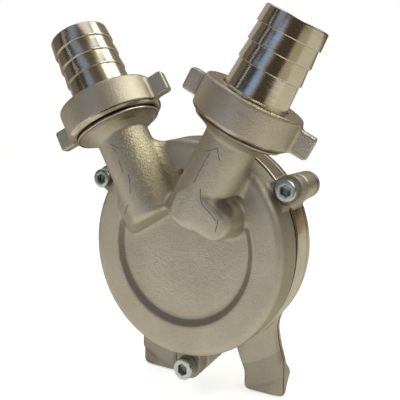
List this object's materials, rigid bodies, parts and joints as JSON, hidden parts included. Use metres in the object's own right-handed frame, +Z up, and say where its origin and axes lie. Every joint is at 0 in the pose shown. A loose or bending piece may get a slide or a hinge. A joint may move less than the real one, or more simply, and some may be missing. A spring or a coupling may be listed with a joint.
{
  "type": "pump head",
  "caption": "Shaft-driven bilge and transfer pump head: round cast body on feet, hose unions with wing nuts in a V, drive shaft at the back.",
  "frame": {"origin": "on the floor under the middle of the whole part's box", "axes": "+Z up, -Y to the front cover, +Y along the drive shaft to the back, +X to the right as seen from the front"},
  "size_m": [0.124, 0.0978, 0.1602],
  "materials": {
    "cast_nickel": "sand-cast brass, satin nickel plate",
    "turned_nickel": "cast and turned brass, nickel plate",
    "bright_nickel": "turned brass, bright nickel plate",
    "zinc_steel": "zinc-plated steel",
    "steel": "ground stainless steel",
    "brass": "cast brass",
    "rubber": "matt nitrile rubber",
    "carbon": "lapped carbon graphite",
    "ceramic": "lapped alumina"
  },
  "bodies": {
    "pump": {"front_cover": "cast_nickel", "rear_casing": "turned_nickel", "cover_o_ring": "rubber", "screw_left": "zinc_steel", "screw_right": "zinc_steel", "screw_bottom": "zinc_steel", "seal_seat": "ceramic", "seal_seat_cup": "rubber", "bearing_outer_ring": "steel", "bore_circlip": "steel"},
    "rotor": {"drive_shaft": "steel", "impeller": "brass", "impeller_key": "steel", "impeller_circlip": "steel", "shaft_circlip": "steel", "seal_spring": "steel", "seal_ring": "carbon", "bearing_inner_ring": "steel"},
    "ball_set": {"bearing_cage": "brass", "bearing_ball_1": "steel", "bearing_ball_2": "steel", "bearing_ball_3": "steel", "bearing_ball_4": "steel", "bearing_ball_5": "steel", "bearing_ball_6": "steel", "bearing_ball_7": "steel", "bearing_ball_8": "steel"},
    "left_tail": {"left_hose_tail": "bright_nickel", "left_tail_gasket": "rubber"},
    "right_tail": {"right_hose_tail": "bright_nickel", "right_tail_gasket": "rubber"},
    "left_nut": {"left_wing_nut": "bright_nickel"},
    "right_nut": {"right_wing_nut": "bright_nickel"}
  },
  "joints": [
    {"name": "shaft_spin", "type": "hinge", "parent": "pump", "child": "rotor", "pos_m": [0, 0, 0.0653], "axis": [0, 1, 0], "continuous": true},
    {"name": "ball_set_spin", "type": "hinge", "parent": "pump", "child": "ball_set", "pos_m": [0, 0, 0.0653], "axis": [0, 1, 0], "continuous": true},
    {"name": "left_union_slide", "type": "slide", "parent": "pump", "child": "left_tail", "axis": [-0.5, 0, 0.866], "range_m": [0, 0.00693]},
    {"name": "left_nut_turn", "type": "hinge", "parent": "left_tail", "child": "left_nut", "pos_m": [0, -0.02842, 0.0653], "axis": [-0.5, 0, 0.866], "range_deg": [0, 1080]},
    {"name": "right_union_slide", "type": "slide", "parent": "pump", "child": "right_tail", "axis": [0.5, 0, 0.866], "range_m": [0, 0.00693]},
    {"name": "right_nut_turn", "type": "hinge", "parent": "right_tail", "child": "right_nut", "pos_m": [0, -0.02842, 0.0653], "axis": [0.5, 0, 0.866], "range_deg": [0, 1080]}
  ],
  "couplings": [
    {"joint": "ball_set_spin", "follows": "shaft_spin", "ratio": 0.38189},
    {"joint": "left_union_slide", "follows": "left_nut_turn", "m_per_rad": 0.00036749},
    {"joint": "right_union_slide", "follows": "right_nut_turn", "m_per_rad": 0.00036749}
  ]
}
